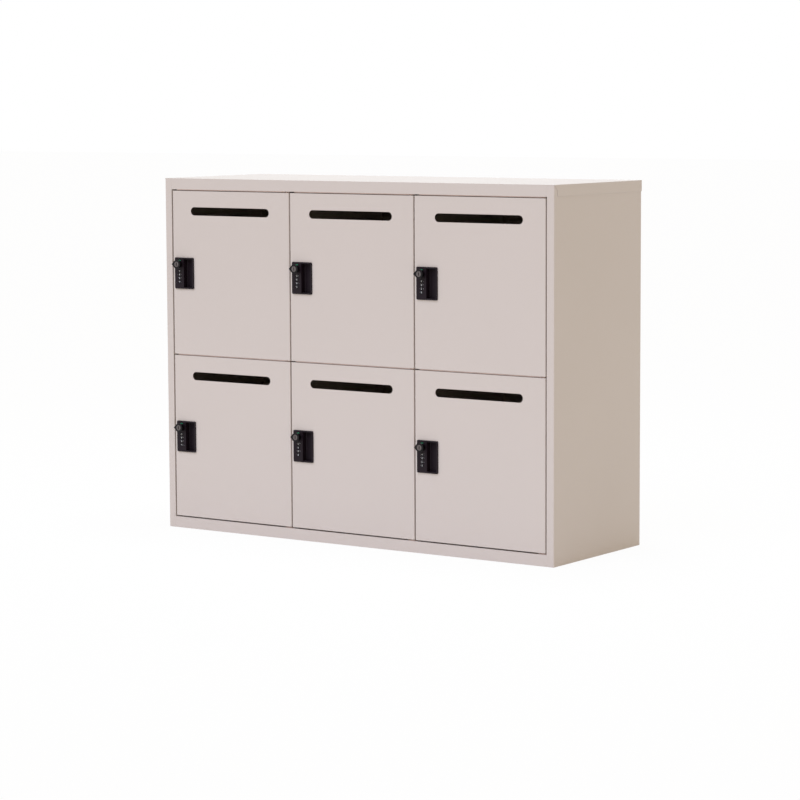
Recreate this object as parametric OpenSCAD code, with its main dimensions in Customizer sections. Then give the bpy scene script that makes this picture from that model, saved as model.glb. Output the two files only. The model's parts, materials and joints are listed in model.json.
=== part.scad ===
// Steel storage cabinet: six letter-box doors in three columns, each with a dial lock.
// The front faces -Y and +Z is up. The origin is on the floor, in the middle of the closed cabinet.

/* [Cabinet] */
// Width over the two side panels
cab_w = 1000; // [850:1:1300]
// Height from the floor to the top
cab_h = 770; // [600:1:1000]
// Depth of the side panels
cab_d = 344; // [250:1:500]
// Thickness of the sheet steel
sheet = 1; // [0.8:0.1:1.2]
// Outer radius of the bends down the upright front edges
bend_r = 1.6; // [1.5:0.1:3]
// Width of the stiles down the two front edges
stile_w = 17.2; // [15:0.2:30]
// Height of the top and bottom front rails
rail_h = 24.1; // [22:0.1:40]
// Height of the cap's fold over the sides and the back
cap_fold = 23; // [16:1:30]
// Distance that the cap's side fold keeps from the front
cap_setback = 12; // [6:1:14]
// Width of the folds that join the sheets
join_fold = 14; // [8:1:16]
// Distance from the front face to where the join folds start
join_start = 60; // [50:1:90]
// Distance that the gap between the rows lies below the middle
row_drop = 0.8; // [0:0.1:20]
// Height of the stop that hangs behind the upper doors, and of the shelf's front lip
stop_h = 13; // [8:0.5:20]

/* [Doors] */
// Gap round each door
door_gap = 3; // [2.5:0.1:4]
// Thickness of the folded door
door_t = 15; // [14.5:0.5:20]
// Width of the fold round the back of the door
door_fold = 10; // [6:0.5:11]
// Length of the letter slot
slot_w = 213.6; // [100:0.2:240]
// Height of the letter slot
slot_h = 18; // [10:0.2:30]
// Distance from the top of the door to the middle of the slot
slot_drop = 44; // [30:1:70]
// Distance that the slot lies from the door's middle, towards the lock
slot_shift = 1.5; // [0:0.5:5]
// Room between the closed door and the strike behind it
strike_gap = 2; // [1.5:0.1:4]
// Width of the strike that shows behind the lock side of the open doorway
strike_cover = 10.5; // [6:0.5:11]
// Radius of the rubber buffers on the strike
buffer_r = 4; // [2:0.5:5]
// Distance from the ends of the door to its buffers
buffer_end = 30; // [20:1:60]
// Clearance between a buffer and the closed door
buffer_clear = 0.3; // [0.3:0.1:0.5]

/* [Pivots] */
// Radius of the pivot pins
pin_r = 3; // [2:0.1:3.5]
// Radial clearance of the pins in the doors
pin_fit = 0.05; // [0.02:0.01:0.1]
// Clearance between the pivot strip on a shelf and the door over it
plate_clear = 0.4; // [0.3:0.1:0.5]
// Thickness of the pivot strips and plates
plate_t = 1.5; // [1.2:0.1:1.7]
// Clearance of the turning door edge from what stands beside it
swing_clear = 0.5; // [0.3:0.1:0.8]
// Distance from the front face to the pivot strips in the gaps
strip_setback = 1.2; // [0.5:0.1:2]
// Distance from the front face to the plates about the pins
plate_setback = 3.2; // [2:0.1:3.4]
// Distance from the hinge side of the door to the pivot plates
plate_edge = 0.5; // [0.3:0.1:1]
// Distance from the lock side of the door to the pivot strips
strip_edge = 11.2; // [11:0.1:30]
// Length of the pivot plates' seat on the shelf or the floor
plate_seat = 24; // [12:1:28]
// Radius of the pivot plates' front corners
plate_corner = 3; // [1:0.5:5]
// Thickness of the block that backs each pivot hole in the door
block_h = 3; // [2:0.5:8]
// Length of the pin that stands out past its block
pin_end = 0.5; // [0.2:0.1:2]

/* [Lock case] */
// Width of the lock's face plate
lock_w = 51.5; // [51:0.5:70]
// Height of the lock's face plate
lock_h = 68; // [66:0.5:90]
// Distance that the face plate stands out from the door
lock_proud = 3; // [2.6:0.1:5]
// Depth of the lock's body behind the door's face
lock_depth = 12.8; // [12.4:0.1:12.9]
// Radius of the face plate's corners
lock_corner = 2.5; // [1:0.5:5]
// Width of the face plate's rim round the body
lock_rim = 2; // [1:0.1:2.5]
// Distance from the lock side of the door to the face plate
lock_inset = 6.3; // [4:0.1:12]
// Distance that the lock's middle lies below the door's middle
lock_drop = 1; // [0:0.5:40]
// Clearance round the lock's body in the door
lock_clear = 0.3; // [0.1:0.1:0.5]
// Distance from the side of the face plate to the finger pocket
pocket_x = 24.7; // [22.7:0.1:25]
// Width of the finger pocket
pocket_w = 23.8; // [16:0.1:24]
// Height of the rim over and under the finger pocket
pocket_rim = 3; // [2.5:0.5:6]
// Depth of the finger pocket from the face plate
pocket_depth = 13; // [6:0.5:14]
// Radius of the finger pocket's inner corners
pocket_r = 1.8; // [1:0.1:4]

/* [Dials] */
// Radius of the number dials
dial_r = 7.2; // [6.8:0.1:7.6]
// Height of each dial
dial_h = 5.4; // [4:0.1:5.8]
// Distance from dial to dial
dial_pitch = 7.75; // [7.4:0.05:8.2]
// Distance from the side of the face plate to the middle of the dials and the knob
dial_x = 13.5; // [12.8:0.1:13.5]
// Distance from the top of the face plate to the first dial
dial_drop = 29.7; // [28:0.1:31]
// Distance that the dials stand out from the face plate
dial_proud = 0.8; // [0.5:0.1:1.2]
// Clearance round each dial in its chamber
dial_clear = 0.3; // [0.3:0.05:0.5]
// Radius of the grooves between the numbers
groove_r = 0.5; // [0.3:0.1:0.8]
// Radius of the shaft that carries the dials
shaft_r = 2; // [1.5:0.1:3]

/* [Knob] */
// Distance from the top of the face plate to the middle of the knob
knob_drop = 14.3; // [14:0.1:14.8]
// Radius of the knob's round head
knob_r = 9.7; // [9:0.1:10.2]
// Distance from the middle of the knob to its blunted tip
knob_tip = 13.2; // [12:0.1:13.4]
// Distance that the flats beside the tip lie inside the head's round side
knob_flat = 0.2; // [0.1:0.1:0.4]
// Distance that the knob stands out from the face plate
knob_reach = 11.3; // [10:0.1:14]
// Radius of the knob's neck behind its head
neck_r = 7.2; // [7:0.1:7.4]
// Length of the knob's neck
neck_l = 8; // [5:0.1:8]
// Clearance between the knob and the face plate
knob_clear = 0.3; // [0.2:0.1:0.5]
// Radius of the key plug in the knob
plug_r = 5.8; // [5:0.1:6.2]
// Length of the key plug inside the knob
plug_l = 6; // [4:0.5:7]
// Distance that the key plug stands out from the knob
plug_proud = 0.4; // [0.2:0.1:1]
// Width of the keyhole
key_w = 1.8; // [1:0.1:2.4]
// Height of the keyhole
key_h = 6.5; // [4:0.1:8]
// Depth of the keyhole
key_depth = 4; // [2:0.5:5]
// Radius of the spindle
spindle_r = 4; // [3:0.1:4.5]
// Radial clearance of the spindle, the plug and the shaft in their holes
turn_fit = 0.05; // [0.02:0.01:0.1]

/* [Indicator and cam] */
// Radius of the indicator disc behind the face plate
disc_r = 10; // [9.9:0.1:10]
// Thickness of the indicator disc
disc_t = 0.8; // [0.5:0.1:1]
// Thickness of the face plate over the indicator disc
window_wall = 1.1; // [0.8:0.1:1.2]
// Radius of the indicator window's lower edge
window_r = 7.7; // [7.5:0.1:8]
// Height of the indicator window
window_h = 2.1; // [1:0.1:2.2]
// Half of the angle that the indicator window covers
window_angle = 30; // [15:1:35]
// Angle that the middle of the indicator window lies towards the door's edge
window_turn = 15; // [0:1:30]
// Clearance round the indicator disc
disc_clear = 0.2; // [0.15:0.05:0.3]
// Length of the cam from the middle of the spindle
cam_l = 17.5; // [15:0.5:18]
// Width of the cam
cam_w = 11; // [8:0.5:12]
// Thickness of the cam
cam_t = 2.5; // [1.5:0.1:4]
// Room between the strike and the cam behind it
cam_gap = 1.5; // [1:0.1:3]
// Radius of the nut's corners
nut_r = 6; // [5.2:0.1:8]
// Thickness of the nut
nut_t = 3.5; // [2:0.5:6]

/* [Hidden] */
$fn = 48;

COLUMNS = ["left", "middle", "right"];
ROWS = ["lower", "upper"];
DIALS = [1, 2, 3, 4];
LOCK_PIECES = ["lock_case", "knob", "lock_core"];
WALLS = ["left_side_panel", "right_side_panel", "top_cap", "base_tray", "back_panel",
         "left_partition", "right_partition", "pivot_plates", "door_buffers"];

function place(c, r) = str(ROWS[r], "_", COLUMNS[c], "_");
function shelf_name(c) = str(COLUMNS[c], "_shelf");

steel_color = [0.82, 0.78, 0.75];
plastic_color = [0.10, 0.09, 0.10];
metal_color = [0.72, 0.71, 0.70];
rubber_color = [0.15, 0.15, 0.15];

// A cut runs this far past the faces that it goes through.
past = 1;
dial_numbers = 10;

last_column = len(COLUMNS) - 1;
field_w = cab_w - 2 * stile_w;
door_w = (field_w - (len(COLUMNS) + 1) * door_gap) / len(COLUMNS);
row_z = cab_h / 2 - row_drop;

// Depths are measured back from the front face.
stop_y = door_t + strike_gap;
stop_back = stop_y + sheet;
wall_back = cab_d - 2 * sheet;
shelf_back = wall_back - sheet;

// The pivot stands in the middle of the door's thickness, as near its edge as the gap lets it turn.
swing_room = door_gap - swing_clear;
pivot_y = door_t / 2;
pivot_inset = (pow(pivot_y, 2) - pow(swing_room, 2)) / (2 * swing_room);
swing_r = pivot_inset + swing_room;
hinge_cut = swing_r + swing_clear;

plate_w = 2 * (pivot_inset - plate_edge);
plate_back = pivot_y + hinge_cut + plate_seat;
pin_hold = sheet + block_h + pin_end;

ceiling_z = cab_h - sheet;
soffit_z = cab_h - rail_h;
stop_z = soffit_z - stop_h;
shelf_z = row_z + door_gap / 2 - plate_clear - plate_t;

dial_y = dial_r - dial_proud - lock_proud;
chamber_h = dial_h + 2 * dial_clear;
chamber_r = dial_r + dial_clear;
knob_front = lock_proud + knob_reach;
front_y = (knob_front + plug_proud - cab_d - sheet) / 2;
disc_front = lock_proud - window_wall;
disc_back = disc_front - disc_t - 2 * disc_clear;
cam_y = stop_back + cam_gap;

function door_left(c) = -field_w / 2 + door_gap + c * (door_w + door_gap);
function door_low(r) = r == 0 ? rail_h + door_gap : row_z + door_gap / 2;
function door_top(r) = r == 0 ? row_z - door_gap / 2 : soffit_z - door_gap;
function door_h(r) = door_top(r) - door_low(r);
function pivot_x(c) = door_left(c) + door_w - pivot_inset;
function wall_x(c) = door_left(c) - door_gap / 2;
function bay_left(c) = c == 0 ? -cab_w / 2 + sheet : wall_x(c) + sheet / 2;
function bay_right(c) = c == last_column ? cab_w / 2 - sheet : wall_x(c + 1) - sheet / 2;
function stop_left(c) = c == 0 ? -field_w / 2 : wall_x(c) + sheet / 2;
function dial_z(d) = lock_h - dial_drop - (d - 1) * dial_pitch;

// Helpers

module from_front() {
    translate([0, front_y, 0]) children();
}

// Extrudes a profile drawn in X and Z from the depth y0 back to y1.
module between_y(y0, y1) {
    translate([0, y1, 0])
        rotate([90, 0, 0])
            linear_extrude(y1 - y0) children();
}

module rounded_rect(w, h, r) {
    translate([r, 0]) square([w - 2 * r, h]);
    translate([0, r]) square([w, h - 2 * r]);
    for (x = [r, w - r], y = [r, h - r])
        translate([x, y]) circle(r);
}

module stadium(w, h) {
    square([w - h, h], center = true);
    for (side = [-1, 1])
        translate([side * (w - h) / 2, 0]) circle(h / 2);
}

// Carcass

// One side panel, its outer face at x = 0 and the cabinet towards +X. Its front edge folds into
// a stile. Behind the stile a strike reaches past the doorway, or a leg closes the fold.
module side_panel(has_strike) {
    difference() {
        union() {
            linear_extrude(ceiling_z) {
                translate([0, bend_r]) square([sheet, cab_d - bend_r]);
                translate([bend_r, 0]) square([stile_w - bend_r, sheet]);
                front_bend();
                translate([stile_w - sheet, 0]) square([sheet, stop_back]);
                translate([0, cab_d - sheet]) square([join_fold, sheet]);
                if (has_strike) {
                    translate([stile_w - sheet, stop_y])
                        square([sheet + door_gap + strike_cover, sheet]);
                } else {
                    translate([stile_w - join_fold + sheet, stop_y]) square([join_fold - sheet, sheet]);
                }
            }
            translate([sheet, sheet, 0]) cube([stile_w - sheet, wall_back - sheet, sheet]);
            translate([0, bend_r, 0]) cube([sheet, wall_back - bend_r, sheet]);
        }
        if (has_strike) translate([stile_w, 0, 0]) strike_openings();
    }
}

// The bend where the side sheet turns into the stile.
module front_bend() {
    translate([bend_r, bend_r])
        intersection() {
            difference() {
                circle(bend_r);
                circle(bend_r - sheet);
            }
            translate([-bend_r, -bend_r]) square(bend_r);
        }
}

// Where the strike makes way for the floor, the shelf's lip and the stop under the top rail.
module strike_openings() {
    for (span = [[-past, rail_h], [shelf_z - stop_h, shelf_z], [stop_z, cab_h]])
        translate([0, stop_y - past, span[0]])
            cube([door_gap + strike_cover + past, sheet + 2 * past, span[1] - span[0]]);
}

module left_side_panel() {
    color(steel_color)
        translate([-cab_w / 2, front_y, 0])
            side_panel(true);
}

module right_side_panel() {
    color(steel_color)
        translate([cab_w / 2, front_y, 0])
            mirror([1, 0, 0])
                side_panel(false);
}

// The cap folds down over the sides and the back. Its front edge folds into the top rail, which
// turns in over the doors and hangs down behind them as a stop, except where the doors pivot.
module top_cap() {
    color(steel_color) from_front() {
        translate([-cab_w / 2 - sheet, 0, ceiling_z])
            cube([cab_w + 2 * sheet, cab_d + sheet, sheet]);
        for (side = [0, 1])
            mirror([side, 0, 0])
                translate([cab_w / 2, 0, 0]) cap_side_fold();
        translate([-cab_w / 2 - sheet, cab_d, cab_h - cap_fold])
            cube([cab_w + 2 * sheet, sheet, cap_fold]);
        translate([-field_w / 2, 0, soffit_z])
            cube([field_w, sheet, rail_h]);
        translate([-field_w / 2, 0, soffit_z])
            cube([field_w, stop_back, sheet]);
        for (c = [0 : last_column])
            translate([stop_left(c), stop_y, stop_z])
                cube([pivot_x(c) - hinge_cut - stop_left(c), sheet, stop_h + sheet]);
    }
}

module cap_side_fold() {
    rotate([90, 0, 90])
        linear_extrude(sheet)
            polygon([
                [0, cab_h],
                [cap_setback, cab_h - cap_setback],
                [cap_setback, cab_h - cap_fold],
                [cab_d + sheet, cab_h - cap_fold],
                [cab_d + sheet, cab_h]
            ]);
}

// The floor of the lower bays. Its front edge folds down into the bottom rail and its foot.
module base_tray() {
    color(steel_color) from_front() {
        translate([-field_w / 2, 0, rail_h - sheet])
            cube([field_w, stop_back, sheet]);
        translate([-cab_w / 2 + sheet, stop_back, rail_h - sheet])
            cube([cab_w - 2 * sheet, wall_back - stop_back, sheet]);
        translate([-field_w / 2, 0, 0])
            cube([field_w, sheet, rail_h]);
        translate([-field_w / 2, 0, 0])
            cube([field_w, stile_w, sheet]);
        translate([-cab_w / 2 + sheet, shelf_back, rail_h - join_fold])
            cube([cab_w - 2 * sheet, sheet, join_fold]);
    }
}

module back_panel() {
    color(steel_color) from_front()
        translate([-cab_w / 2 + sheet, wall_back, 0])
            cube([cab_w - 2 * sheet, sheet, ceiling_z]);
}

// An upright wall between two columns. Its front edge folds into the strike for the lock on its
// right, and its other edges fold to the left for the welds.
module partition(c) {
    color(steel_color)
        translate([wall_x(c) - sheet / 2, front_y, 0])
            difference() {
                union() {
                    translate([0, stop_y, rail_h])
                        cube([sheet, wall_back - stop_y, ceiling_z - rail_h]);
                    translate([0, stop_y, rail_h])
                        cube([(sheet + door_gap) / 2 + strike_cover, sheet, stop_z - rail_h]);
                    for (z = [rail_h, ceiling_z - sheet])
                        translate([sheet - join_fold, join_start, z])
                            cube([join_fold, wall_back - join_start, sheet]);
                    translate([sheet - join_fold, shelf_back, rail_h])
                        cube([join_fold, sheet, ceiling_z - rail_h]);
                }
                translate([sheet, 0, 0]) strike_openings();
                translate([-past, stop_y - past, soffit_z])
                    cube([sheet + 2 * past, sheet + past, rail_h]);
            }
}

module left_partition() {
    partition(1);
}

module right_partition() {
    partition(2);
}

// The shelf over the lower bay. Its lip is the stop of the lower door, and its front corner is cut
// back where the doors pivot.
module shelf(c) {
    width = bay_right(c) - bay_left(c);
    lip_w = pivot_x(c) - hinge_cut - stop_left(c);
    flat_y = pivot_y + hinge_cut;
    color(steel_color) translate([0, front_y, shelf_z]) {
        translate([bay_left(c), flat_y, -sheet])
            cube([width, shelf_back - flat_y, sheet]);
        translate([stop_left(c), stop_y, -sheet])
            cube([lip_w, flat_y - stop_y, sheet]);
        translate([stop_left(c), stop_y, -stop_h])
            cube([lip_w, sheet, stop_h]);
        for (x = [bay_left(c), bay_right(c) - sheet])
            translate([x, join_start, -join_fold])
                cube([sheet, shelf_back - join_start, join_fold]);
        translate([bay_left(c), shelf_back - sheet, -join_fold])
            cube([width, sheet, join_fold]);
    }
}

// The pins that the doors turn on, with what carries them: strips in the gaps over and between the
// doors, and a plate under each lower door.
module pivot_plates() {
    color(steel_color) from_front()
        for (c = [0 : last_column]) {
            pivot_plate(c, rail_h, plate_back);
            pivot_pin(c, rail_h + plate_t, door_low(0) + pin_hold);
            pivot_strip(c, shelf_z, plate_back);
            pivot_pin(c, door_top(0) - pin_hold, door_low(1) + pin_hold);
            pivot_strip(c, soffit_z - plate_t, stop_y);
            pivot_pin(c, door_top(1) - pin_hold, soffit_z - plate_t);
        }
}

module pivot_plate(c, z, back) {
    length = back - plate_setback;
    translate([pivot_x(c) - plate_w / 2, plate_setback, z])
        linear_extrude(plate_t) {
            rounded_rect(plate_w, length, plate_corner);
            translate([0, length / 2]) square([plate_w, length / 2]);
        }
}

// A pivot strip runs from the strike to the plate about the pin, nearer to the front than the plate.
module pivot_strip(c, z, back) {
    left = door_left(c) + strip_edge;
    pivot_plate(c, z, back);
    translate([left, strip_setback, z])
        cube([pivot_x(c) - left, back - strip_setback, plate_t]);
}

module pivot_pin(c, z0, z1) {
    translate([pivot_x(c), pivot_y, z0]) cylinder(r = pin_r, h = z1 - z0);
}

// Rubber buffers on the strikes, two to a door.
module door_buffers() {
    color(rubber_color) from_front()
        for (c = [0 : last_column], r = [0 : len(ROWS) - 1])
            for (z = [door_low(r) + buffer_end, door_top(r) - buffer_end])
                translate([door_left(c) + strike_cover / 2, 0, z])
                    between_y(stop_y - strike_gap + buffer_clear, stop_y) circle(buffer_r);
}

// Doors

module at_door(c, r) {
    translate([door_left(c), front_y, door_low(r)]) children();
}

// A pan folded from one sheet, open at the back, with a backed hole at each end for its pivots.
module door(c, r) {
    color(steel_color) at_door(c, r)
        difference() {
            union() {
                difference() {
                    linear_extrude(door_h(r)) door_outline();
                    translate([sheet, sheet, sheet])
                        cube([door_w - 2 * sheet, door_t - 2 * sheet, door_h(r) - 2 * sheet]);
                    translate([door_fold, door_t - sheet - past, door_fold])
                        cube([door_w - 2 * door_fold, sheet + 2 * past, door_h(r) - 2 * door_fold]);
                }
                for (z = [sheet, door_h(r) - sheet - block_h])
                    translate([door_w - 2 * pivot_inset + sheet, sheet, z])
                        cube([2 * (pivot_inset - sheet), door_t - 2 * sheet, block_h]);
            }
            for (z = [-past, door_h(r) - sheet - block_h - past])
                translate([door_w - pivot_inset, pivot_y, z])
                    cylinder(r = pin_r + pin_fit, h = sheet + block_h + 2 * past);
            translate([door_w / 2 - slot_shift, 0, door_h(r) - slot_drop])
                between_y(-past, sheet + past) stadium(slot_w, slot_h);
            translate([lock_inset + lock_rim - lock_clear, -past, lock_low(r) + lock_rim - lock_clear])
                cube([body_size(lock_w), sheet + 2 * past, body_size(lock_h)]);
        }
}

// The door's plan, with its two front bends rounded.
module door_outline() {
    translate([bend_r, 0]) square([door_w - 2 * bend_r, door_t]);
    translate([0, bend_r]) square([door_w, door_t - bend_r]);
    for (x = [bend_r, door_w - bend_r])
        translate([x, bend_r]) circle(bend_r);
}

// Lock

function lock_low(r) = (door_h(r) - lock_h) / 2 - lock_drop;
function body_size(plate) = plate - 2 * (lock_rim - lock_clear);

module at_lock(c, r) {
    at_door(c, r) translate([lock_inset, 0, lock_low(r)]) children();
}

module at_knob(c, r) {
    at_lock(c, r) translate([dial_x, 0, lock_h - knob_drop]) children();
}

// The moulded case: a face plate, the body behind it with a finger pocket, the four chambers of
// the dials with their shaft, and the window over the indicator disc.
module lock_case(c, r) {
    color(plastic_color) at_lock(c, r) {
        difference() {
            union() {
                between_y(-lock_proud, 0) rounded_rect(lock_w, lock_h, lock_corner);
                translate([lock_rim, 0, lock_rim])
                    cube([lock_w - 2 * lock_rim, lock_depth, lock_h - 2 * lock_rim]);
            }
            translate([pocket_x, -lock_proud, pocket_rim])
                linear_extrude(lock_h - 2 * pocket_rim) pocket_outline();
            for (d = DIALS)
                translate([dial_x, dial_y, dial_z(d) - chamber_h / 2])
                    cylinder(r = chamber_r, h = chamber_h);
            translate([dial_x, 0, lock_h - knob_drop]) {
                between_y(-lock_proud - past, lock_depth + past) circle(spindle_r + turn_fit);
                between_y(-disc_front, -disc_back) circle(disc_r + disc_clear);
                between_y(-lock_proud - past, -disc_front) indicator_window();
            }
        }
        translate([dial_x, dial_y, dial_z(len(DIALS)) - dial_pitch / 2])
            cylinder(r = shaft_r, h = len(DIALS) * dial_pitch);
    }
}

// The finger pocket's plan, with its inner corners rounded.
module pocket_outline() {
    translate([0, -past]) square([pocket_w, pocket_depth - pocket_r + past]);
    translate([pocket_r, 0]) square([pocket_w - 2 * pocket_r, pocket_depth]);
    for (x = [pocket_r, pocket_w - pocket_r])
        translate([x, pocket_depth - pocket_r]) circle(pocket_r);
}

module indicator_window() {
    reach = window_r + window_h;
    rotate(window_turn)
        intersection() {
            difference() {
                circle(reach);
                circle(window_r);
            }
            polygon([[0, 0], [-reach * tan(window_angle), reach], [reach * tan(window_angle), reach]]);
        }
}

// The knob: a neck and a round head with a blunted tip, which points to the door's edge when the
// lock is open.
module knob(c, r) {
    color(plastic_color) at_knob(c, r)
        difference() {
            union() {
                between_y(-lock_proud - knob_clear - neck_l, -lock_proud - knob_clear) circle(neck_r);
                between_y(-knob_front, -lock_proud - knob_clear - neck_l) head_outline();
            }
            between_y(-knob_front - past, -knob_front + plug_l) circle(plug_r + turn_fit);
            between_y(-knob_front, -lock_proud) circle(spindle_r + turn_fit);
        }
}

module head_outline() {
    circle(knob_r);
    intersection() {
        rotate(135) square(knob_r - knob_flat);
        circle(knob_tip);
    }
}

// The key plug, the spindle behind it, the indicator disc, the cam and its nut turn as one.
module lock_core(c, r) {
    color(metal_color) at_knob(c, r)
        difference() {
            union() {
                between_y(-knob_front - plug_proud, -knob_front + plug_l) circle(plug_r);
                between_y(-knob_front, cam_y + cam_t) circle(spindle_r);
                between_y(disc_clear - disc_front, disc_clear - disc_front + disc_t) circle(disc_r);
                between_y(cam_y, cam_y + cam_t) cam_outline();
                between_y(cam_y + cam_t, cam_y + cam_t + nut_t) circle(nut_r, $fn = 6);
            }
            between_y(-knob_front - plug_proud - past, -knob_front - plug_proud + key_depth)
                square([key_w, key_h], center = true);
        }
}

// The cam hangs down when the lock is open, and turns behind the strike to lock.
module cam_outline() {
    arm = cam_l - cam_w / 2;
    circle(nut_r + sheet);
    translate([-cam_w / 2, -arm]) square([cam_w, arm]);
    translate([0, -arm]) circle(cam_w / 2);
}

// A number dial with a groove between each two of its ten numbers.
module dial(c, r, d) {
    color(plastic_color) at_lock(c, r)
        translate([dial_x, dial_y, dial_z(d) - dial_h / 2])
            difference() {
                cylinder(r = dial_r, h = dial_h);
                translate([0, 0, -past]) {
                    cylinder(r = shaft_r + turn_fit, h = dial_h + 2 * past);
                    for (n = [0 : dial_numbers - 1])
                        rotate((n + 0.5) * 360 / dial_numbers)
                            translate([dial_r, 0, 0])
                                cylinder(r = groove_r, h = dial_h + 2 * past, $fn = 16);
                }
            }
}

left_side_panel();
right_side_panel();
top_cap();
base_tray();
back_panel();
left_partition();
right_partition();
pivot_plates();
door_buffers();
for (c = [0 : last_column]) {
    shelf(c);
    for (r = [0 : len(ROWS) - 1]) {
        door(c, r);
        lock_case(c, r);
        knob(c, r);
        lock_core(c, r);
        for (d = DIALS)
            dial(c, r, d);
    }
}
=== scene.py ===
"""Dresses a six-door steel storage cabinet and its dial locks.

All sizes are metres in the frame's own axes: the doors face -Y, +X is right as seen from the front, and +Z
is up.
"""

import json
import logging
import math
from dataclasses import dataclass, field
from enum import Enum

import bmesh
import bpy
from mathutils import Matrix, Vector


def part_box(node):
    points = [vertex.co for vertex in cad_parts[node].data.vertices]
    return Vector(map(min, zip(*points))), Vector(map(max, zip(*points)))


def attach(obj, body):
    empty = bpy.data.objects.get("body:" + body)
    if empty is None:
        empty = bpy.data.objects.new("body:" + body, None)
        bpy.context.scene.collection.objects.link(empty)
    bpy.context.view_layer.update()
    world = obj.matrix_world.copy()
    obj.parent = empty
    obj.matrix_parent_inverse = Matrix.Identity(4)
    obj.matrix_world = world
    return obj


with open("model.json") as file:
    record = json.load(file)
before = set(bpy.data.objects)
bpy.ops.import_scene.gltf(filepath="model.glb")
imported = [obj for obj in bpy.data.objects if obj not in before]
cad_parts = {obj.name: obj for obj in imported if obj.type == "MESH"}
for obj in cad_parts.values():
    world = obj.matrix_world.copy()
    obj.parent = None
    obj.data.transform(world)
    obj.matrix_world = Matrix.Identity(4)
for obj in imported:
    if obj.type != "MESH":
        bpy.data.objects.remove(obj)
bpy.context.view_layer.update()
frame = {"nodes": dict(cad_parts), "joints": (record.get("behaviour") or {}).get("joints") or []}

LOG = logging.getLogger("cabinet")
SHARP_EDGE = math.radians(35)

Colour = tuple[float, float, float]
Point = tuple[float, float, float]


class Row(Enum):
    """A row of doors."""

    LOWER = "lower"
    UPPER = "upper"


class Column(Enum):
    """A column of doors, as seen from the front."""

    LEFT = "left"
    MIDDLE = "middle"
    RIGHT = "right"


class Value:
    """A number socket of a shader, on which Python's operators add Math nodes."""

    def __init__(self, graph: "Graph", socket: bpy.types.NodeSocket) -> None:
        """Wraps one output socket.

        Args:
            graph: The graph that the socket belongs to.
            socket: The output socket.
        """
        self.graph = graph
        self.socket = socket

    def _math(self, operation: str, first: "Value | float", second: "Value | float") -> "Value":
        """Adds one Math node.

        Args:
            operation: The Math node's operation.
            first: Its first value.
            second: Its second value.

        Returns:
            The node's result.
        """
        return self.graph.add("ShaderNodeMath", {"operation": operation}, {0: first, 1: second})

    def __add__(self, other: "Value | float") -> "Value":
        """Adds."""
        return self._math("ADD", self, other)

    def __radd__(self, other: float) -> "Value":
        """Adds to a number."""
        return self._math("ADD", other, self)

    def __sub__(self, other: "Value | float") -> "Value":
        """Subtracts."""
        return self._math("SUBTRACT", self, other)

    def __rsub__(self, other: float) -> "Value":
        """Subtracts from a number."""
        return self._math("SUBTRACT", other, self)

    def __mul__(self, other: "Value | float") -> "Value":
        """Multiplies."""
        return self._math("MULTIPLY", self, other)

    def __rmul__(self, other: float) -> "Value":
        """Multiplies a number."""
        return self._math("MULTIPLY", other, self)

    def over(self, level: float, width: float) -> "Value":
        """Rises from 0 to 1 about a level.

        Args:
            level: The level.
            width: The width of the rise.

        Returns:
            The clamped rise.
        """
        rise = (self - level) * (1 / width) + 0.5
        return self.graph.add("ShaderNodeClamp", {}, {0: rise})

    def larger(self, other: "Value | float") -> "Value":
        """Gives the larger of two values."""
        return self._math("MAXIMUM", self, other)


class Graph:
    """The nodes of one material or of the world."""

    def __init__(self, tree: bpy.types.NodeTree) -> None:
        """Takes a node tree.

        Args:
            tree: The tree that the nodes go into.
        """
        self.tree = tree

    def node(self, kind: str, settings: dict | None = None, sockets: dict | None = None) -> bpy.types.Node:
        """Makes one node.

        Args:
            kind: The node's type.
            settings: Its settings, set first.
            sockets: The values or links of its input sockets, by name or number.

        Returns:
            The node.
        """
        made = self.tree.nodes.new(kind)
        for name, value in (settings or {}).items():
            setattr(made, name, value)
        for name, value in (sockets or {}).items():
            self.feed(made.inputs[name], value)
        return made

    def add(self, kind: str, settings: dict | None = None, sockets: dict | None = None) -> Value:
        """Makes one node and wraps its first output.

        Args:
            kind: The node's type.
            settings: Its settings.
            sockets: The values or links of its input sockets.

        Returns:
            The first output.
        """
        return Value(self, self.node(kind, settings, sockets).outputs[0])

    def feed(self, socket: bpy.types.NodeSocket, value: object) -> None:
        """Sets or links one input socket.

        Args:
            socket: The input socket.
            value: A Value, a number, or a colour or vector as a tuple.
        """
        if isinstance(value, Value):
            self.tree.links.new(value.socket, socket)
        elif isinstance(value, tuple) and socket.type == "RGBA":
            socket.default_value = (*value, 1)
        else:
            socket.default_value = value

    def noise(self, size: float, detail: float = 2.0, stretch: Point = (1.0, 1.0, 1.0)) -> Value:
        """Adds a noise that is fixed to the piece.

        Args:
            size: The size of its features.
            detail: Its octaves.
            stretch: How much finer it is along each axis.

        Returns:
            The noise, from 0 to 1 about 0.5.
        """
        place = self.node("ShaderNodeTexCoord").outputs["Object"]
        scale = tuple(s / size for s in stretch)
        spread = self.add("ShaderNodeMapping", {}, {"Vector": Value(self, place), "Scale": scale})
        return self.add("ShaderNodeTexNoise", {}, {"Vector": spread, "Scale": 1.0, "Detail": detail})

    def tint(self, share: Value | float, first: Value | Colour, second: Value | Colour) -> Value:
        """Mixes two colours.

        Args:
            share: The share of the second colour.
            first: The first colour.
            second: The second colour.

        Returns:
            The mixed colour.
        """
        made = self.node("ShaderNodeMix", {"data_type": "RGBA"}, {0: share, 6: first, 7: second})
        return Value(self, made.outputs[2])


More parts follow.
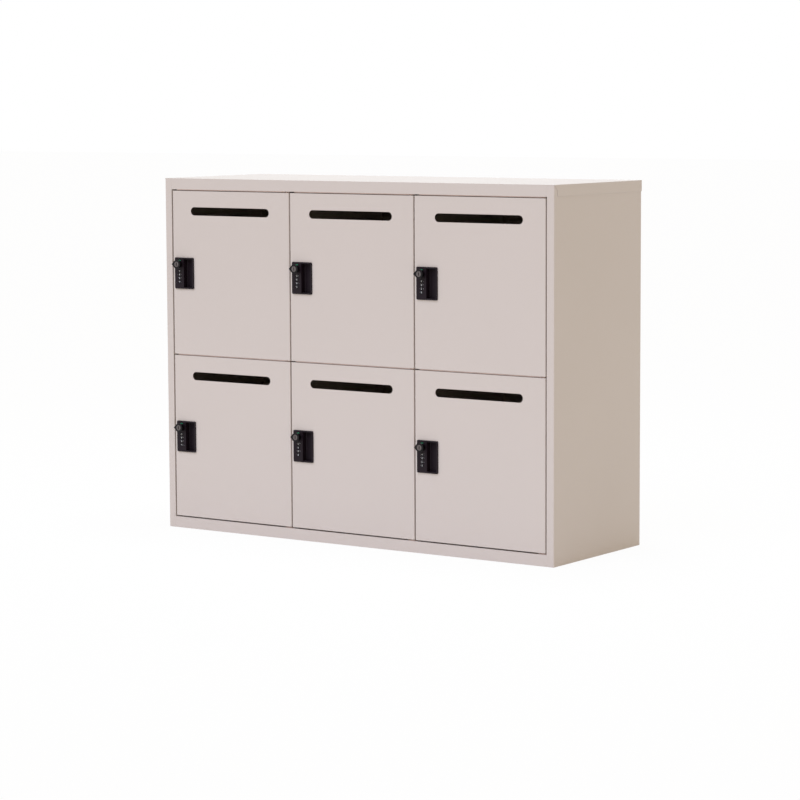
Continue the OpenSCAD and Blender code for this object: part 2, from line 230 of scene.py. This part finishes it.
class Surface(Graph):
    """A material with one Principled shader."""

    def __init__(self, name: str) -> None:
        """Starts the material.

        Args:
            name: The material's name.
        """
        self.material = bpy.data.materials.new(name)
        self.material.use_nodes = True
        super().__init__(self.material.node_tree)
        self.shader = self.tree.nodes["Principled BSDF"]

    def set(self, **values: object) -> None:
        """Sets or links the shader's sockets.

        Args:
            **values: The sockets' values, each named as its socket in lower case with underscores.
        """
        for socket in self.shader.inputs:
            key = socket.name.lower().replace(" ", "_")
            if key in values:
                self.feed(socket, values[key])

    def relief(self, height: Value, depth: float) -> None:
        """Gives the shader a bump.

        Args:
            height: The height, from 0 to 1.
            depth: What a height of 1 stands for.
        """
        bump = self.add("ShaderNodeBump", {}, {"Strength": 1.0, "Distance": depth, "Height": height})
        self.feed(self.shader.inputs["Normal"], bump)


@dataclass(frozen=True)
class PowderCoat:
    """Satin powder coat on sheet steel, with its fine orange peel."""

    name: str = "warm_grey_powder_coat"
    colour: Colour = (0.650, 0.578, 0.535)
    thin: Colour = (0.620, 0.553, 0.512)
    gloss: float = 0.36
    shine: float = 0.42
    thin_share: float = 0.35
    cloud: float = 0.22
    cloud_tone: float = 0.6
    cloud_gloss: float = 0.10
    speckle: float = 0.0006
    speckle_tone: float = 0.5
    speckle_gloss: float = 0.12
    peel: float = 0.0013
    peel_depth: float = 0.000012

    def material(self) -> bpy.types.Material:
        """Builds the material: a cloudy tone, a speckle from the powder's grains, and the peel."""
        paint = Surface(self.name)
        cloud = paint.noise(self.cloud, 3.0) - 0.5
        speckle = paint.noise(self.speckle, 1.0) - 0.5
        tone = cloud * self.cloud_tone + speckle * self.speckle_tone + self.thin_share
        paint.set(base_color=paint.tint(tone, self.colour, self.thin),
                  roughness=cloud * self.cloud_gloss + speckle * self.speckle_gloss + self.gloss,
                  specular_ior_level=self.shine)
        paint.relief(paint.noise(self.peel), self.peel_depth)
        return paint.material


@dataclass(frozen=True)
class Moulding:
    """Injection-moulded plastic or rubber with a spark-eroded grain."""

    name: str
    colour: Colour
    gloss: float
    shine: float = 0.25
    grain: float = 0.00035
    grain_depth: float = 0.00002
    grain_tone: float = 0.9
    grain_gloss: float = 0.2
    flow: float = 0.02
    flow_tone: float = 0.4
    flow_gloss: float = 0.1
    paler: float = 1.6
    palest_black: float = 0.001

    def material(self) -> bpy.types.Material:
        """Builds the material: grain in the relief, a painted highlight that makes the tops of the grain
        paler, and paler flow marks.
        """
        plastic = Surface(self.name)
        grain = plastic.noise(self.grain, 3.0)
        flow = plastic.noise(self.flow)
        paler = tuple(min(1.0, part * self.paler + self.palest_black) for part in self.colour)
        # The tops of the grain take the paler colour as a painted highlight; the flow marks are paler tone
        # of the moulding itself.
        tone = (grain - 0.5) * self.grain_tone + flow * self.flow_tone
        plastic.set(base_color=plastic.tint(tone, self.colour, paler),
                    roughness=self.gloss + (grain - 0.5) * self.grain_gloss + (flow - 0.5) * self.flow_gloss,
                    specular_ior_level=self.shine)
        plastic.relief(grain, self.grain_depth)
        return plastic.material


@dataclass(frozen=True)
class Plating:
    """Satin nickel plate with fine brushing and small dull spots, its colour darkened far below nickel's own
    as painted shade and a painted dark reflection.
    """

    name: str = "satin_nickel_plate"
    # Far darker than nickel's own colour: painted shade and a painted reflection of dark surroundings.
    colour: Colour = (0.155, 0.134, 0.13)
    dull: Colour = (0.085, 0.073, 0.07)
    gloss: float = 0.42
    brush: float = 0.0008
    brush_stretch: Point = (0.08, 1.0, 1.0)
    brush_tone: float = 0.4
    brush_gloss: float = 0.25
    brush_depth: float = 0.000006
    spot: float = 0.003
    spot_level: float = 0.60
    spot_edge: float = 0.12
    spot_tone: float = 0.6
    spot_gloss: float = 0.12

    def material(self) -> bpy.types.Material:
        """Builds the material: brush lines along X, and spots where the plate is dull."""
        metal = Surface(self.name)
        brush = metal.noise(self.brush, 2.0, self.brush_stretch)
        spots = metal.noise(self.spot, 3.0).over(self.spot_level, self.spot_edge)
        tone = spots * self.spot_tone + (brush - 0.5) * self.brush_tone
        metal.set(base_color=metal.tint(tone, self.colour, self.dull),
                  roughness=self.gloss + (brush - 0.5) * self.brush_gloss + spots * self.spot_gloss,
                  metallic=1.0)
        metal.relief(brush, self.brush_depth)
        return metal.material


@dataclass(frozen=True)
class Print:
    """Opaque ink on a moulding, a little uneven where it was stamped."""

    name: str
    colour: Colour
    gloss: float = 0.5
    blotch: float = 0.0009
    blotch_level: float = 0.62
    blotch_edge: float = 0.3
    blotch_tone: float = 0.8
    blotch_gloss: float = 0.2
    blotch_depth: float = 0.00001
    worn: float = 0.72

    def material(self) -> bpy.types.Material:
        """Builds the material: a blotchy film of ink."""
        ink = Surface(self.name)
        blotch = ink.noise(self.blotch, 3.0)
        tone = blotch.over(self.blotch_level, self.blotch_edge) * self.blotch_tone
        worn = tuple(part * self.worn for part in self.colour)
        ink.set(base_color=ink.tint(tone, self.colour, worn),
                roughness=self.gloss + (blotch - 0.5) * self.blotch_gloss)
        ink.relief(blotch, self.blotch_depth)
        return ink.material


@dataclass
class Palette:
    """Every finish on the cabinet, each made once."""

    paint: bpy.types.Material = field(default_factory=lambda: PowderCoat().material())
    # The weld craters' coat is darker than the sheets': painted shade, so that the shallow craters show.
    weld: bpy.types.Material = field(default_factory=lambda: PowderCoat(
        "powder_coat_over_welds", (0.560, 0.490, 0.450), (0.490, 0.425, 0.390), gloss=0.44).material())
    # The pivot plates' coat is redder and darker than the sheets': painted reddish bounce light and painted
    # shade for the gaps that show them.
    primer: bpy.types.Material = field(default_factory=lambda: PowderCoat(
        "thin_coat_over_primer", (0.640, 0.480, 0.425), (0.600, 0.440, 0.385), gloss=0.44).material())
    case: bpy.types.Material = field(default_factory=lambda: Moulding(
        "grained_black_moulding", (0.0112, 0.0062, 0.0092), gloss=0.42, shine=0.16).material())
    knob: bpy.types.Material = field(default_factory=lambda: Moulding(
        "smooth_black_moulding", (0.0035, 0.0022, 0.003), gloss=0.30, shine=0.22,
        grain=0.0009, grain_depth=0.000008).material())
    dial: bpy.types.Material = field(default_factory=lambda: Moulding(
        "satin_black_moulding", (0.0055, 0.0038, 0.005), gloss=0.38, shine=0.2,
        grain=0.0005, grain_depth=0.00001).material())
    plate: bpy.types.Material = field(default_factory=lambda: Plating().material())
    rubber: bpy.types.Material = field(default_factory=lambda: Moulding(
        "soft_black_rubber", (0.018, 0.018, 0.018), gloss=0.85, shine=0.3,
        grain=0.0006, grain_depth=0.00003).material())
    numbers: bpy.types.Material = field(default_factory=lambda: Print(
        "pale_number_ink", (0.72, 0.71, 0.73)).material())
    green: bpy.types.Material = field(default_factory=lambda: Print(
        "green_open_mark", (0.010, 0.34, 0.16)).material())
    red: bpy.types.Material = field(default_factory=lambda: Print(
        "red_locked_mark", (0.45, 0.015, 0.012)).material())


@dataclass(frozen=True)
class Trim:
    """How a node of the frame is finished: its edges' width and steps, and if its flat faces are joined."""

    edge: float
    steps: int = 2
    joined: bool = True
    weld: float = 0.000002
    flat: float = math.radians(0.05)

    def dress(self, node: str, material: bpy.types.Material) -> None:
        """Softens a node's edges and gives it its finish.

        Args:
            node: The node's name.
            material: Its finish.
        """
        part = frame["nodes"][node]
        part.data.materials.clear()
        part.data.materials.append(material)
        if "custom_normal" in part.data.attributes:
            part.data.attributes.remove(part.data.attributes["custom_normal"])
        part.data.shade_smooth()
        weld = part.modifiers.new("weld", "WELD")
        weld.merge_threshold = self.weld
        if self.joined:
            flat = part.modifiers.new("flat_faces", "DECIMATE")
            flat.decimate_type = "DISSOLVE"
            flat.angle_limit = self.flat
        bevel = part.modifiers.new("soft_edges", "BEVEL")
        bevel.width = self.edge
        bevel.segments = self.steps
        bevel.limit_method = "ANGLE"
        bevel.angle_limit = SHARP_EDGE
        bevel.harden_normals = True
        LOG.info("dressed %s", node)


class Shape:
    """A mesh that is shaped step by step, and then made one of the cabinet's pieces."""

    def __init__(self) -> None:
        """Starts with nothing."""
        self.mesh = bmesh.new()

    def piece(self, name: str, body: str, material: bpy.types.Material) -> bpy.types.Object:
        """Makes the piece and lets it ride.

        Args:
            name: The piece's name.
            body: The body that it moves with.
            material: Its finish.

        Returns:
            The piece.
        """
        data = bpy.data.meshes.new(name)
        self.mesh.to_mesh(data)
        self.mesh.free()
        made = bpy.data.objects.new(name, data)
        bpy.context.scene.collection.objects.link(made)
        data.materials.append(material)
        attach(made, body)
        LOG.info("made %s with %d faces", name, len(data.polygons))
        return made


@dataclass
class Numbers:
    """The raised faces round one dial, and the numbers printed on them."""

    count: int = 10
    height: float = 0.0037
    height_share: float = 0.69
    narrow: float = 0.86
    lift: float = 0.00003
    curve_steps: int = 3
    cuts: tuple[float, ...] = (-0.0006, 0.0, 0.0006)
    cut_reach: float = 0.000001
    face_rise: float = 0.00012
    face_sunk: float = 0.00003
    face_gap: float = 0.0009
    face_end: float = 0.0001
    face_steps: int = 8

    def digit(self, number: int) -> bpy.types.Mesh:
        """Draws one number flat, in the plane of its text.

        Args:
            number: The number.

        Returns:
            The number's mesh, centred.
        """
        curve = bpy.data.curves.new("digit", "FONT")
        curve.body = str(number)
        curve.align_x = "CENTER"
        curve.align_y = "CENTER"
        curve.size = self.height / self.height_share
        curve.resolution_u = self.curve_steps
        drawn = bpy.data.objects.new("digit", curve)
        bpy.context.scene.collection.objects.link(drawn)
        bpy.context.view_layer.update()
        flat = bpy.data.meshes.new_from_object(drawn.evaluated_get(bpy.context.evaluated_depsgraph_get()))
        bpy.data.objects.remove(drawn)
        bpy.data.curves.remove(curve)
        return flat

    def place(self, axis: Vector, angle: float, out: float, up: float) -> Vector:
        """Gives a point round a dial.

        Args:
            axis: The middle of the dial.
            angle: The angle from straight forwards.
            out: The distance from the axis.
            up: The height over the middle.

        Returns:
            The point.
        """
        turn = angle - math.pi / 2
        return axis + Vector((math.cos(turn) * out, math.sin(turn) * out, up))

    def wrap(self, shape: Shape, axis: Vector, radius: float, first: int) -> None:
        """Wraps the numbers round a dial, cut into strips that follow its curve.

        Args:
            shape: The mesh that takes them.
            axis: The middle of the dial.
            radius: The dial's radius.
            first: The number that faces forwards.
        """
        mesh = shape.mesh
        out = radius + self.face_rise + self.lift
        for step in range(self.count):
            flat = self.digit((first + step) % self.count)
            kept = [len(parts) for parts in (mesh.verts, mesh.edges, mesh.faces)]
            mesh.from_mesh(flat)
            bpy.data.meshes.remove(flat)
            for cut in self.cuts:
                new = [part for parts, start in zip((mesh.verts, mesh.edges, mesh.faces), kept)
                       for part in parts[:][start:]]
                bmesh.ops.bisect_plane(mesh, geom=new, dist=self.cut_reach, plane_co=(cut, 0, 0),
                                       plane_no=(1, 0, 0))
            turn = step * math.tau / self.count
            for vert in mesh.verts[:][kept[0]:]:
                vert.co = self.place(axis, turn + vert.co.x * self.narrow / radius, out, vert.co.y)

    def faces(self, shape: Shape, axis: Vector, radius: float, tall: float) -> None:
        """Shapes the raised faces that the numbers are printed on.

        Args:
            shape: The mesh that takes them.
            axis: The middle of the dial.
            radius: The dial's radius.
            tall: The dial's height.
        """
        mesh = shape.mesh
        sweep = math.tau / self.count - self.face_gap / radius
        high = tall - 2 * self.face_end
        thick = self.face_rise + self.face_sunk
        for step in range(self.count):
            kept_verts, kept_faces = len(mesh.verts), len(mesh.faces)
            bmesh.ops.create_grid(mesh, x_segments=self.face_steps, y_segments=1, size=0.5)
            raised = bmesh.ops.extrude_face_region(mesh, geom=mesh.faces[:][kept_faces:])["geom"]
            top = [part for part in raised if isinstance(part, bmesh.types.BMVert)]
            bmesh.ops.translate(mesh, verts=top, vec=(0, 0, 1))
            turn = step * math.tau / self.count
            for vert in mesh.verts[:][kept_verts:]:
                out = radius - self.face_sunk + vert.co.z * thick
                vert.co = self.place(axis, turn + vert.co.x * sweep, out, vert.co.y * high)
        bmesh.ops.recalc_face_normals(mesh, faces=mesh.faces)


@dataclass
class Lock:
    """One dial lock: its case, knob, core, four dials and printed marks."""

    tag: str
    code: tuple[int, ...]
    palette: Palette
    numbers: Numbers = field(default_factory=Numbers)
    case_trim: Trim = Trim(0.0006, 4)
    knob_trim: Trim = Trim(0.0007, 4)
    core_trim: Trim = Trim(0.00025)
    dial_trim: Trim = Trim(0.0003)
    plate_thick: float = 0.0011
    disc_back: float = 0.0002
    mark_turn: float = math.radians(-15)
    mark_sweep: float = math.radians(76)
    mark_radius: float = 0.00865
    mark_width: float = 0.0026
    mark_thick: float = 0.00008
    mark_steps: int = 12

    def build(self) -> None:
        """Dresses and marks the whole lock."""
        self.case_trim.dress(f"{self.tag}_lock_case", self.palette.case)
        self.knob_trim.dress(f"{self.tag}_knob", self.palette.knob)
        self.core_trim.dress(f"{self.tag}_lock_core", self.palette.plate)
        self.marks()
        for dial, number in enumerate(self.code, 1):
            self.dial(dial, number)

    def dial(self, dial: int, number: int) -> None:
        """Dresses one dial, and gives it its raised faces and its numbers.

        Args:
            dial: The dial's place, from the top.
            number: The number that shows.
        """
        node, wheel = f"{self.tag}_dial_{dial}", f"{self.tag}_wheel_{dial}"
        self.dial_trim.dress(node, self.palette.dial)
        low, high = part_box(node)
        axis, radius = (low + high) / 2, (high.x - low.x) / 2
        ring = Shape()
        self.numbers.faces(ring, axis, radius, high.z - low.z)
        raised = ring.piece(f"{node}_faces", wheel, self.palette.dial)
        raised.data.shade_smooth()
        raised.data.set_sharp_from_angle(angle=SHARP_EDGE)
        prints = Shape()
        self.numbers.wrap(prints, axis, radius, number)
        prints.piece(f"{node}_numbers", wheel, self.palette.numbers)

    def marks(self) -> None:
        """Prints the green and the red mark on the indicator disc."""
        axis = Vector(next(j["pos_m"] for j in frame["joints"] if j["name"] == f"{self.tag}_lock_turn"))
        plate_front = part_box(f"{self.tag}_lock_case")[0].y
        face = plate_front + self.plate_thick + self.disc_back - self.mark_thick
        for name, turn, material in (("open_mark", self.mark_turn, self.palette.green),
                                     ("locked_mark", self.mark_turn - math.pi / 2, self.palette.red)):
            sector = Shape()
            made = bmesh.ops.create_grid(sector.mesh, x_segments=self.mark_steps, y_segments=1, size=0.5)
            for vert in made["verts"]:
                angle = turn + vert.co.x * self.mark_sweep
                out = self.mark_radius + vert.co.y * self.mark_width
                vert.co = Vector((axis.x + math.sin(angle) * out, face, axis.z + math.cos(angle) * out))
            bmesh.ops.recalc_face_normals(sector.mesh, faces=sector.mesh.faces)
            if sector.mesh.faces[:][0].normal.y > 0:
                bmesh.ops.reverse_faces(sector.mesh, faces=sector.mesh.faces)
            sector.piece(f"{self.tag}_{name}", f"{self.tag}_latch", material)


@dataclass
class Door:
    """One door with its lock."""

    row: Row
    column: Column
    code: tuple[int, ...]
    palette: Palette
    trim: Trim = Trim(0.0002)

    def build(self) -> None:
        """Dresses the door and builds its lock."""
        tag = f"{self.row.value}_{self.column.value}"
        self.trim.dress(f"{tag}_door", self.palette.paint)
        Lock(tag, self.code, self.palette).build()


@dataclass
class WeldMarks:
    """The small craters that spot welding leaves on the back, painted over."""

    palette: Palette
    pitch: float = 0.085
    end: float = 0.03
    fold: float = 0.014
    cap_fold: float = 0.023
    radius: float = 0.0034
    wall: float = 0.0007
    rim_share: float = 0.8
    rise: float = 0.00025
    hollow_share: float = 0.9
    sunk: float = 0.00002
    sides: int = 16

    def crater(self, shape: Shape, place: Vector) -> None:
        """Shapes one crater that faces backwards.

        Args:
            shape: The mesh that takes it.
            place: Its middle, on the sheet's outer face.
        """
        kept = len(shape.mesh.verts)
        bmesh.ops.create_circle(shape.mesh, cap_ends=True, segments=self.sides, radius=self.radius)
        face = shape.mesh.faces[:][-1]
        for thickness, depth in ((self.wall, self.rise), (self.wall * self.rim_share, 0.0),
                                 (self.wall, -self.rise * self.hollow_share)):
            bmesh.ops.inset_region(shape.mesh, faces=[face], thickness=thickness, depth=depth,
                                   use_boundary=True, use_even_offset=True)
        verts = shape.mesh.verts[:][kept:]
        backwards = Matrix.Rotation(-math.pi / 2, 3, "X")
        bmesh.ops.rotate(shape.mesh, verts=verts, cent=(0, 0, 0), matrix=backwards)
        bmesh.ops.translate(shape.mesh, verts=verts, vec=place - Vector((0, self.sunk, 0)))

    def row(self, shape: Shape, start: Vector, stop: Vector) -> None:
        """Sets craters along a line, a whole number of steps apart.

        Args:
            shape: The mesh that takes them.
            start: The line's start.
            stop: The line's end.
        """
        run = stop - start
        inset = run.normalized() * self.end
        steps = max(1, round((run.length - 2 * self.end) / self.pitch))
        for step in range(steps + 1):
            self.crater(shape, start + inset + (run - 2 * inset) * (step / steps))

    def build(self) -> None:
        """Marks the welds of the partitions, the shelves, the tray and the sides."""
        shape = Shape()
        back_low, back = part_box("back_panel")
        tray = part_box("base_tray")[1].z
        side_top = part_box("left_side_panel")[1].z - self.cap_fold
        for wall in ("left_partition", "right_partition"):
            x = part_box(wall)[0].x + self.fold / 2
            self.row(shape, Vector((x, back.y, tray)), Vector((x, back.y, side_top)))
        for name in ("left_shelf", "middle_shelf", "right_shelf"):
            low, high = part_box(name)
            z = high.z - self.fold / 2
            self.row(shape, Vector((low.x, back.y, z)), Vector((high.x, back.y, z)))
        z = tray - self.fold / 2
        self.row(shape, Vector((back_low.x, back.y, z)), Vector((back.x, back.y, z)))
        for side in ("left_side_panel", "right_side_panel"):
            low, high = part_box(side)
            x = low.x + self.fold / 2 if low.x < 0 else high.x - self.fold / 2
            self.row(shape, Vector((x, high.y, 0.0)), Vector((x, high.y, side_top)))
        # The craters take the darker coat of painted shade.
        made = shape.piece("back_weld_marks", "carcass", self.palette.weld)
        made.data.shade_smooth()


@dataclass
class Carcass:
    """The cabinet without its doors."""

    palette: Palette
    sheets: tuple[str, ...] = ("left_side_panel", "right_side_panel", "top_cap", "base_tray", "back_panel",
                               "left_partition", "right_partition")
    shelves: tuple[str, ...] = ("left_shelf", "middle_shelf", "right_shelf")
    sheet_trim: Trim = Trim(0.0003)
    shelf_trim: Trim = Trim(0.0003, joined=False)
    buffer_trim: Trim = Trim(0.0006, 3)

    def build(self) -> None:
        """Dresses the sheets and the buffers, and marks the welds."""
        for sheet in self.sheets:
            self.sheet_trim.dress(sheet, self.palette.paint)
        for shelf in self.shelves:
            self.shelf_trim.dress(shelf, self.palette.paint)
        # The pivot plates take the redder, darker coat of painted gap bounce light and painted shade.
        self.sheet_trim.dress("pivot_plates", self.palette.primer)
        self.buffer_trim.dress("door_buffers", self.palette.rubber)
        WeldMarks(self.palette).build()


@dataclass
class Lamp:
    """One distant soft lamp."""

    name: str
    way: Point
    spread: float
    level: Colour

    def build(self) -> None:
        """Hangs the lamp. At level 1, a facing surface's colour renders as it is written."""
        light = bpy.data.lights.new(self.name, "SUN")
        strength = max(self.level)
        light.energy = math.pi * strength
        light.angle = math.radians(self.spread)
        light.color = tuple(part / strength for part in self.level)
        hung = bpy.data.objects.new(self.name, light)
        bpy.context.scene.collection.objects.link(hung)
        hung.rotation_euler = (-Vector(self.way)).to_track_quat("-Z", "Y").to_euler()
        LOG.info("hung %s", self.name)


@dataclass
class Softbox:
    """A square lamp that hangs over the cabinet, within its outline, so that it lights the top alone."""

    name: str
    place: Point
    side: float
    lit_height: float
    level: Colour

    def build(self) -> None:
        """Hangs the lamp. At level 1, a flat surface at the lit height renders as its colour is written."""
        light = bpy.data.lights.new(self.name, "AREA")
        light.shape = "SQUARE"
        light.size = self.side
        strength = max(self.level)
        light.energy = (math.pi * (self.place[2] - self.lit_height)) ** 2 * strength
        light.color = tuple(part / strength for part in self.level)
        hung = bpy.data.objects.new(self.name, light)
        bpy.context.scene.collection.objects.link(hung)
        hung.location = self.place
        LOG.info("hung %s", self.name)


@dataclass
class Studio:
    """The floor, the pale surroundings, the lamps and the camera."""

    floor_half: float = 30.0
    floor_colour: Colour = (0.94, 0.94, 0.94)
    floor_gloss: float = 0.9
    floor_glow: float = 0.95
    white: Colour = (1.0, 1.0, 1.0)
    ambient: Colour = (0.585, 0.495, 0.35)
    camera_place: Point = (3.45438, -4.93468, 0.95523)
    heading: float = 0.60957
    pitch: float = math.radians(6.25)
    roll: float = 0.0046
    lens: float = 126.62
    far: float = 200.0
    lamps: tuple[Lamp | Softbox, ...] = (
        Lamp("front_lamp", (-0.1, -1.0, 1.0), 50.0, (0.335, 0.395, 0.545)),
        Softbox("top_lamp", (0.0, 0.3, 3.0), 0.9, 0.77, (0.50, 0.60, 0.68)),
    )

    def build(self) -> None:
        """Sets up everything round the cabinet."""
        self.world()
        self.floor()
        for lamp in self.lamps:
            lamp.build()
        self.camera()

    def seen(self, graph: Graph) -> Value:
        """Gives 1 for what the camera sees itself, in a mirror or through glass."""
        rays = graph.node("ShaderNodeLightPath")
        found = Value(graph, rays.outputs["Is Camera Ray"])
        for name in ("Is Glossy Ray", "Is Transmission Ray"):
            found = found.larger(Value(graph, rays.outputs[name]))
        return found

    def world(self) -> None:
        """Makes the surroundings: white where they are seen, and a plain level of light elsewhere."""
        world = bpy.data.worlds.new("studio")
        bpy.context.scene.world = world
        world.use_nodes = True
        world.node_tree.nodes.clear()
        graph = Graph(world.node_tree)
        fill = graph.add("ShaderNodeBackground", {}, {"Color": self.ambient, "Strength": 1.0})
        white = graph.add("ShaderNodeBackground", {}, {"Color": self.white, "Strength": 1.0})
        both = graph.add("ShaderNodeMixShader", {}, {0: self.seen(graph), 1: fill, 2: white})
        graph.node("ShaderNodeOutputWorld", {}, {"Surface": both})

    def floor(self) -> None:
        """Makes a white floor that shows the cabinet's shadow faintly."""
        mesh = bmesh.new()
        bmesh.ops.create_grid(mesh, x_segments=1, y_segments=1, size=self.floor_half)
        data = bpy.data.meshes.new("floor")
        mesh.to_mesh(data)
        mesh.free()
        ground = bpy.data.objects.new("floor", data)
        bpy.context.scene.collection.objects.link(ground)
        paint = Surface("studio_floor")
        paint.set(base_color=self.floor_colour, roughness=self.floor_gloss, specular_ior_level=0.0)
        glow = paint.add("ShaderNodeEmission", {}, {"Color": self.white, "Strength": 1.0})
        share = self.seen(paint) * self.floor_glow
        coat = Value(paint, paint.shader.outputs[0])
        both = paint.add("ShaderNodeMixShader", {}, {0: share, 1: coat, 2: glow})
        paint.feed(paint.tree.nodes["Material Output"].inputs["Surface"], both)
        data.materials.append(paint.material)

    def camera(self) -> None:
        """Places the camera at the photograph's angle."""
        data = bpy.data.cameras.new("camera")
        data.lens = self.lens
        data.clip_end = self.far
        camera = bpy.data.objects.new("camera", data)
        bpy.context.scene.collection.objects.link(camera)
        turn = (Matrix.Rotation(self.heading, 4, "Z") @ Matrix.Rotation(math.pi / 2 - self.pitch, 4, "X")
                @ Matrix.Rotation(-self.roll, 4, "Z"))
        camera.matrix_world = Matrix.Translation(self.camera_place) @ turn
        bpy.context.scene.camera = camera
        bpy.context.scene.view_settings.view_transform = "Standard"


def main() -> None:
    """Builds the cabinet and its studio."""
    logging.basicConfig(level=logging.INFO, format="%(name)s: %(message)s")
    palette = Palette()
    Carcass(palette).build()
    codes = {Column.LEFT: (0, 8, 8, 4), Column.MIDDLE: (8, 0, 8, 0), Column.RIGHT: (4, 8, 5, 0)}
    for column, code in codes.items():
        for row in Row:
            Door(row, column, code, palette).build()
    Studio().build()


if __name__ == "__main__":
    main()
